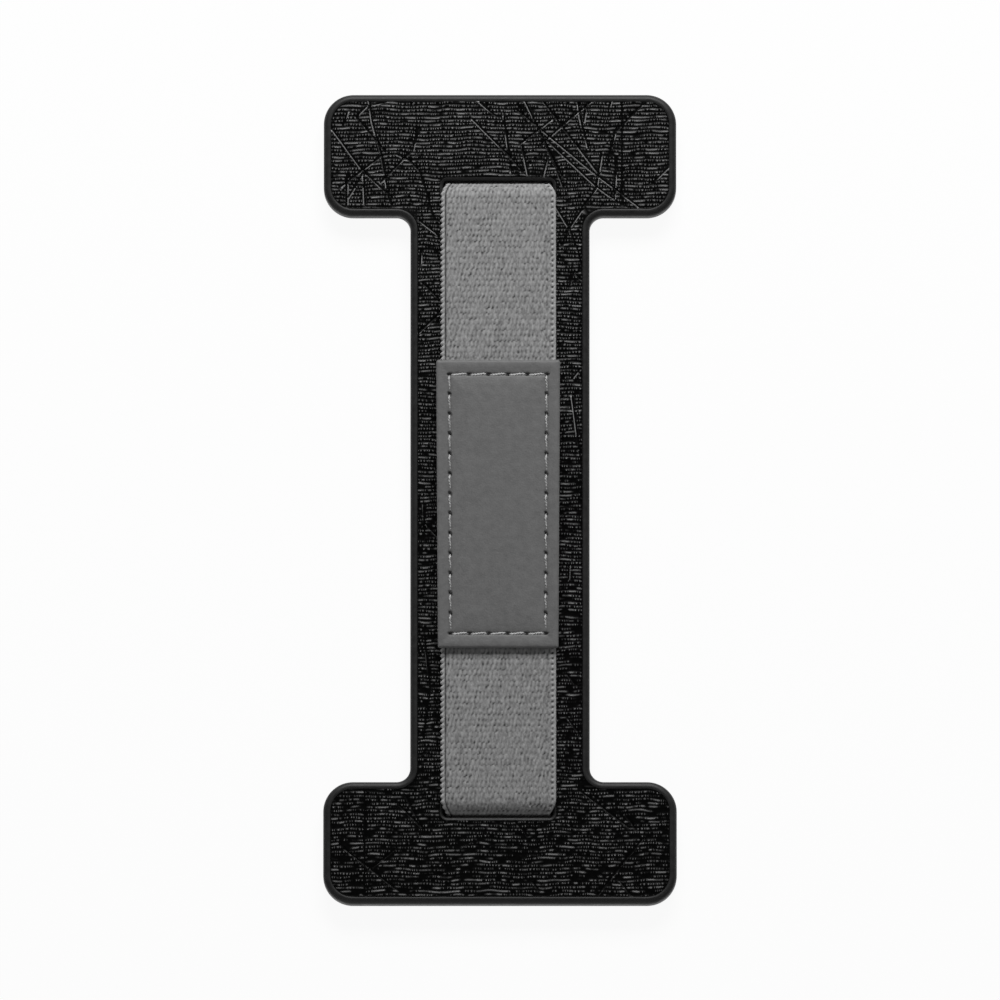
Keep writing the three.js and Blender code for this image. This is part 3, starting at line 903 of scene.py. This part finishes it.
def tube(line, radius, sides):
    """Points and faces of a round tube along a closed line."""
    ahead = np.roll(line, -1, axis=0) - np.roll(line, 1, axis=0)
    ahead /= np.linalg.norm(ahead, axis=1)[:, None]
    up = np.tile([0.0, 0.0, 1.0], (len(line), 1))
    side = np.cross(ahead, up)
    length = np.linalg.norm(side, axis=1)[:, None]
    outward = np.stack([line[:, 1], -line[:, 0], line[:, 2] * 0], axis=1)
    outward /= np.linalg.norm(outward, axis=1)[:, None]
    side = np.where(length > 0.2, side / np.maximum(length, 1e-6), outward)
    up = np.cross(side, ahead)
    angles = np.arange(sides) * 2 * math.pi / sides
    rings = [line + radius * (math.cos(a) * side + math.sin(a) * up) for a in angles]
    mesh = np.stack(rings, axis=1).reshape(-1, 3)
    count = len(line)
    faces = []
    for i in range(count):
        for j in range(sides):
            k = (j + 1) % sides
            n = ((i + 1) % count) * sides
            faces.append((i * sides + j, i * sides + k, n + k, n + j))
    return mesh, faces


def seam_line(off, dip, sinking):
    """The closed line of one thread: a run along each stitch and a dip at each hole. Where
    it is sinking, a stitch along a side stands up at its upper end and sinks towards the other."""
    line = []
    for i, hole in enumerate(HOLES):
        following = HOLES[(i + 1) % len(HOLES)]
        run = following - hole
        length = np.linalg.norm(run)
        lean = np.array([run[1], -run[0]]) / length
        upright = abs(run[1]) > abs(run[0])
        for k in range(STITCH_STEPS):
            share = k / STITCH_STEPS
            near = min(share, 1 - share) * length
            depth = dip * (1 - smooth_step(0.1, 0.85, near))
            x, y = hole + run * share + lean * 0.12 * math.sin(2 * math.pi * share)
            if sinking:
                lower = share if run[1] < 0 else 1 - share
                sunk = 0.3 * smooth_step(0.22, 0.7, lower) if upright else 0.04
                depth += sunk - (0.14 * math.exp(-(((lower - 0.2) / 0.09) ** 2)) if upright else 0)
            x *= 1 + PATCH_TAPER * y / (PATCH_LENGTH / 2)
            y += PATCH_SHIFT
            line.append((x + BAND_SHIFT, y, float(arch_height(y, off)) - depth))
    return np.array(line)


def make_thread(name, off, dip, sinking):
    line = seam_line(off, dip, sinking)
    steps = np.linalg.norm(np.roll(line, -1, axis=0) - line, axis=1)
    along = np.concatenate([[0], np.cumsum(steps)])[:-1]
    turns = round(along[-1] / TWIST_PITCH)
    phase = 2 * math.pi * turns * along / (along[-1] + steps[-1])
    ahead = np.roll(line, -1, axis=0) - np.roll(line, 1, axis=0)
    ahead /= np.linalg.norm(ahead, axis=1)[:, None]
    side = np.stack([ahead[:, 1], -ahead[:, 0], 0 * phase], axis=1)
    side /= np.maximum(np.linalg.norm(side, axis=1)[:, None], 0.2)
    up = np.cross(side, ahead)
    meshes = []
    faces = []
    for ply in (0, 1):
        swing = (phase + ply * math.pi)[:, None]
        centre = line + 0.45 * THREAD_RADIUS * (np.cos(swing) * side + np.sin(swing) * up)
        mesh, made = tube(centre, 0.6 * THREAD_RADIUS, PLY_SIDES)
        start = sum(len(m) for m in meshes)
        faces += [tuple(i + start for i in face) for face in made]
        meshes.append(mesh)
    return make_object(name, np.concatenate(meshes), faces)


# Materials
class Nodes:
    """A short way to make one procedural material."""

    def __init__(self, name):
        self.material = bpy.data.materials.new(name)
        self.material.use_nodes = True
        self.tree = self.material.node_tree
        self.shader = self.tree.nodes["Principled BSDF"]
        self.place = self.tree.nodes.new("ShaderNodeTexCoord").outputs["Object"]

    def node(self, kind, settings=None, **inputs):
        made = self.tree.nodes.new(kind)
        for key, value in (settings or {}).items():
            setattr(made, key, value)
        for key, value in inputs.items():
            self.set(made.inputs[key.replace("_", " ")], value)
        return made

    def set(self, socket, value):
        if isinstance(value, bpy.types.NodeSocket):
            self.tree.links.new(value, socket)
        else:
            socket.default_value = value

    def noise(self, scale, detail, roughness=0.5, place=None):
        made = self.node("ShaderNodeTexNoise", Vector=place or self.place, Scale=scale)
        self.set(made.inputs["Detail"], detail)
        self.set(made.inputs["Roughness"], roughness)
        return made.outputs["Fac"]

    def spread(self, value, low, high):
        """Values from low to high spread over 0 to 1, and cut off outside."""
        return self.node("ShaderNodeMapRange", Value=value, From_Min=low, From_Max=high).outputs[0]

    def attribute(self, name):
        return self.node("ShaderNodeAttribute", {"attribute_name": name}).outputs["Fac"]

    def math(self, kind, first, second=0.0, third=0.0):
        made = self.node("ShaderNodeMath", {"operation": kind})
        self.set(made.inputs[0], first)
        self.set(made.inputs[1], second)
        self.set(made.inputs[2], third)
        return made.outputs[0]

    def ramp(self, fac, *stops):
        made = self.node("ShaderNodeValToRGB", Fac=fac)
        ramp = made.color_ramp
        while len(ramp.elements) < len(stops):
            ramp.elements.new(0.5)
        for element, (place, grey) in zip(ramp.elements, stops):
            element.position = place
            element.color = (grey, grey, grey, 1)
        return made.outputs["Color"]

    def bump(self, height, distance, strength):
        made = self.node("ShaderNodeBump", Height=height, Distance=distance, Strength=strength)
        self.set(self.shader.inputs["Normal"], made.outputs[0])

    def finish(self, **inputs):
        for key, value in inputs.items():
            self.set(self.shader.inputs[key.replace("_", " ")], value)
        return self.material


def smooth_plastic():
    look = Nodes("plate_rim")
    mist = look.noise(700, 3.0)
    colour = look.ramp(mist, (0.3, 0.012), (0.7, 0.018))
    rough = look.ramp(mist, (0.3, 0.44), (0.7, 0.54))
    look.bump(look.noise(4200, 2.0), 0.00003, 0.4)
    return look.finish(Base_Color=colour, Roughness=rough, Specular_IOR_Level=0.24)


BEAD_PITCH = 0.66
BEAD_JITTER = 2.2
RIDGE_SHARPNESS = 21.0
PAINTED_EDGE_HIGHLIGHT = 3.0


def hatched_plastic():
    """Near-black plastic whose ridges break into beads and dashes, in line with the mesh. Its colour
    paints highlights on the crests and on the scratches' raised edges.
    """
    look = Nodes("plate_field")
    apart = look.node("ShaderNodeSeparateXYZ", Vector=look.place)
    x = look.math("DIVIDE", apart.outputs["X"], MM)
    y = look.math("DIVIDE", apart.outputs["Y"], MM)

    def wave(size, along_x, along_y):
        angle = look.math("ADD", look.math("MULTIPLY", x, along_x), look.math("MULTIPLY", y, along_y))
        return look.math("MULTIPLY", look.math("SINE", angle), size)

    wobble = look.math("ADD", wave(*RIDGE_WAVES[0]), wave(*RIDGE_WAVES[1]))
    phase = look.math("DIVIDE", look.math("SUBTRACT", y, wobble), RIDGE_PITCH)
    row = look.math("ROUND", phase)
    off = look.math("SUBTRACT", look.math("SUBTRACT", phase, row), look.attribute("stray"))
    fall = look.math("MULTIPLY", look.math("MULTIPLY", off, off), -RIDGE_SHARPNESS)
    ridge = look.math("EXPONENT", fall)

    def along_row(scale, seed):
        line = look.node("ShaderNodeCombineXYZ", X=look.math("DIVIDE", x, scale))
        look.set(line.inputs["Y"], look.math("MULTIPLY_ADD", row, 7.31, seed))
        return look.noise(1.0, 0.0, place=line.outputs[0])

    jitter = look.math("MULTIPLY", along_row(1.3, 2.0), BEAD_JITTER)
    beads = look.math("ADD", look.math("DIVIDE", x, BEAD_PITCH), jitter)
    swing = look.math("MULTIPLY", beads, 2 * math.pi)
    bead = look.math("MULTIPLY_ADD", look.math("SINE", swing), 0.5, 0.5)
    solid = look.spread(along_row(2.4, 11.0), 0.52, 0.62)
    bead = look.math("MAXIMUM", look.math("POWER", bead, 1.4), look.math("MULTIPLY", solid, 0.9))
    dash = look.attribute("dash")
    crest = look.math("MULTIPLY", look.math("MULTIPLY", ridge, bead), dash)
    # The scratches' raised edges get a painted highlight
    edge = look.math("MAXIMUM", look.attribute("scratch"), 0)
    bare = look.math("MINIMUM", look.attribute("scratch"), 0)
    crest = look.math("MULTIPLY", crest, look.math("ADD", 1, look.math("MAXIMUM", bare, -1)))
    crest = look.math("MAXIMUM", crest, look.math("MULTIPLY", edge, PAINTED_EDGE_HIGHLIGHT))
    # Painted highlights: the ramp lightens the crests towards grey, and the valleys keep the plastic's
    # near-black
    colour = look.ramp(crest, (0.05, 0.0003), (0.3, 0.013), (0.6, 0.085), (0.9, 0.28))
    rough = look.ramp(look.noise(900, 3.0), (0.3, 0.3), (0.7, 0.4))
    fine = look.math("MULTIPLY", look.noise(3600, 2.0), 0.12)
    look.bump(look.math("ADD", crest, fine), 0.00011, 1.0)
    return look.finish(Base_Color=colour, Roughness=rough, Specular_IOR_Level=0.1)


def elastic_look():
    look = Nodes("elastic_weave")
    crest = look.attribute("crest")
    leaning = look.node("ShaderNodeMapping", Vector=look.place, Rotation=(0, 0, 0.55))
    leaning.inputs["Scale"].default_value = (1.0, 0.45, 1.0)
    fibre = look.spread(look.noise(2300.0, 1.5, place=leaning.outputs[0]), 0.3, 0.7)
    # Painted shade: the colour darkens where the weave lies low, in its gaps, grooves and pits, and
    # lightens on the strokes
    tone = look.math("ADD", look.math("MULTIPLY", crest, 0.8), look.math("MULTIPLY", fibre, 0.24))
    colour = look.ramp(tone, (0.1, 0.02), (0.35, 0.11), (0.62, 0.24), (0.95, 0.38))
    look.bump(fibre, 0.0001, 0.7)
    return look.finish(Base_Color=colour, Roughness=0.85, Sheen_Weight=0.1, Sheen_Roughness=0.5)


def leather_look():
    look = Nodes("leather_grain")
    mottle = look.noise(620, 4.0, 0.6)
    grain = look.noise(3000, 2.0, 0.5)
    tone = look.math("ADD", look.math("MULTIPLY", mottle, 0.6), look.math("MULTIPLY", grain, 0.4))
    # Painted shade inside the needle holes
    tone = look.math("MULTIPLY", tone, look.math("SUBTRACT", 1, look.attribute("hole")))
    colour = look.ramp(tone, (0.02, 0.006), (0.25, 0.09), (0.36, 0.108), (0.66, 0.142))
    look.bump(look.math("ADD", mottle, look.math("MULTIPLY", grain, 0.5)), 0.00012, 0.6)
    return look.finish(Base_Color=colour, Roughness=0.6, Specular_IOR_Level=0.4)


def thread_look():
    look = Nodes("sewing_thread")
    fibre = look.noise(5200, 2.0, 0.6)
    colour = look.ramp(fibre, (0.3, 0.36), (0.7, 0.5))
    look.bump(fibre, 0.00004, 0.5)
    return look.finish(Base_Color=colour, Roughness=0.6, Sheen_Weight=0.2)


def foam_look():
    look = Nodes("adhesive_foam")
    cells = look.node("ShaderNodeTexVoronoi", Vector=look.place, Scale=1700.0).outputs["Distance"]
    colour = look.ramp(cells, (0.1, 0.018), (0.8, 0.035))
    look.bump(cells, 0.00006, 0.6)
    return look.finish(Base_Color=colour, Roughness=0.9)


def floor_look():
    look = Nodes("studio_floor")
    soft = look.noise(3.0, 2.0)
    colour = look.ramp(soft, (0.3, 0.86), (0.7, 0.88))
    look.finish(Base_Color=colour, Roughness=0.9)
    tree = look.tree
    path = look.node("ShaderNodeLightPath")
    seen = look.math("MAXIMUM", path.outputs["Is Camera Ray"], path.outputs["Is Glossy Ray"])
    seen = look.math("MAXIMUM", seen, path.outputs["Is Transmission Ray"])
    share = look.math("MULTIPLY", seen, 0.93)
    glow = look.node("ShaderNodeEmission", Color=(1, 1, 1, 1), Strength=1.0)
    mix = look.node("ShaderNodeMixShader", Fac=share)
    tree.links.new(look.shader.outputs[0], mix.inputs[1])
    tree.links.new(glow.outputs[0], mix.inputs[2])
    output = next(n for n in tree.nodes if n.type == "OUTPUT_MATERIAL")
    tree.links.new(mix.outputs[0], output.inputs["Surface"])
    return look.material


def dress(piece, body_slot, *materials):
    for material in materials:
        piece.data.materials.append(material)
    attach(piece, "root")


plate = make_plate()
dress(plate, "plate", smooth_plastic(), hatched_plastic())
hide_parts("base_plate")

band = make_band()
dress(band, "elastic", elastic_look())
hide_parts("elastic_band")

patch = make_patch()
dress(patch, "leather", leather_look())
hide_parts("leather_patch")

thread_finish = thread_look()
needle_off = BAND_THICKNESS / 2 + PATCH_GAP + PATCH_THICKNESS - SEAM_VALLEY - 0.02
needle = make_thread("needle_stitches", needle_off, NEEDLE_DIP, True)
dress(needle, "thread", thread_finish)
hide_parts("needle_thread")
bobbin_off = -BAND_THICKNESS / 2 - 0.3
bobbin = make_thread("bobbin_stitches", bobbin_off, BOBBIN_DIP, False)
dress(bobbin, "thread", thread_finish)
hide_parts("bobbin_thread")

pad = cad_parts["adhesive_pad"]
pad.data.materials.clear()
pad.data.materials.append(foam_look())

# Floor, lamps and camera
FLOOR_HALF = 4.0
FLOOR_GAP = 0.0002
floor_mesh = bpy.data.meshes.new("studio_floor")
corners = [(x * FLOOR_HALF, y * FLOOR_HALF, 0) for x, y in ((-1, -1), (1, -1), (1, 1), (-1, 1))]
floor_mesh.from_pydata(corners, [], [(0, 1, 2, 3)])
floor = bpy.data.objects.new("studio_floor", floor_mesh)
floor.location = (0, 0, -FLOOR_GAP)
floor.data.materials.append(floor_look())
bpy.context.scene.collection.objects.link(floor)


def lamp(name, place, aim, size, power):
    data = bpy.data.lights.new(name, "AREA")
    data.shape = "RECTANGLE"
    data.size, data.size_y = size
    data.energy = power
    made = bpy.data.objects.new(name, data)
    made.location = place
    made.rotation_euler = (Vector(aim) - Vector(place)).to_track_quat("-Z", "Y").to_euler()
    bpy.context.scene.collection.objects.link(made)


CENTRE = (0, 0, 0.0018)
lamp("key_light", (0.06, 0.82, 0.6), CENTRE, (0.7, 0.35), 12.5)
lamp("fill_light", (-0.25, -1.2, 0.7), CENTRE, (1.4, 0.9), 3)

# The world gives little light but looks white to the camera
WORLD_LIGHT = 0.13
world = bpy.data.worlds.new("studio_world")
world.use_nodes = True
bpy.context.scene.world = world
sky = world.node_tree
back = sky.nodes["Background"]
back.inputs["Color"].default_value = (1, 1, 1, 1)
back.inputs["Strength"].default_value = WORLD_LIGHT
path = sky.nodes.new("ShaderNodeLightPath")
white = sky.nodes.new("ShaderNodeBackground")
white.inputs["Color"].default_value = (1, 1, 1, 1)
white.inputs["Strength"].default_value = 1
mix = sky.nodes.new("ShaderNodeMixShader")
sky.links.new(path.outputs["Is Camera Ray"], mix.inputs[0])
sky.links.new(back.outputs[0], mix.inputs[1])
sky.links.new(white.outputs[0], mix.inputs[2])
output = next(n for n in sky.nodes if n.type == "OUTPUT_WORLD")
sky.links.new(mix.outputs[0], output.inputs["Surface"])

# A long lens far above the object, leaning a little towards the reader, as in the photograph
LENS = 1000
SENSOR = 36
FRAME_WIDTH = 0.2154
CAMERA_TILT = math.radians(8)
camera_data = bpy.data.cameras.new("photo_camera")
camera_data.lens = LENS
camera_data.sensor_width = SENSOR
camera = bpy.data.objects.new("photo_camera", camera_data)
distance = FRAME_WIDTH * LENS / SENSOR
lean = Vector((0, -math.sin(CAMERA_TILT), math.cos(CAMERA_TILT)))
camera.location = Vector(CENTRE) + distance * lean
camera.rotation_euler = (CAMERA_TILT, 0, 0)
bpy.context.scene.collection.objects.link(camera)
bpy.context.scene.camera = camera
bpy.context.scene.view_settings.view_transform = "Standard"
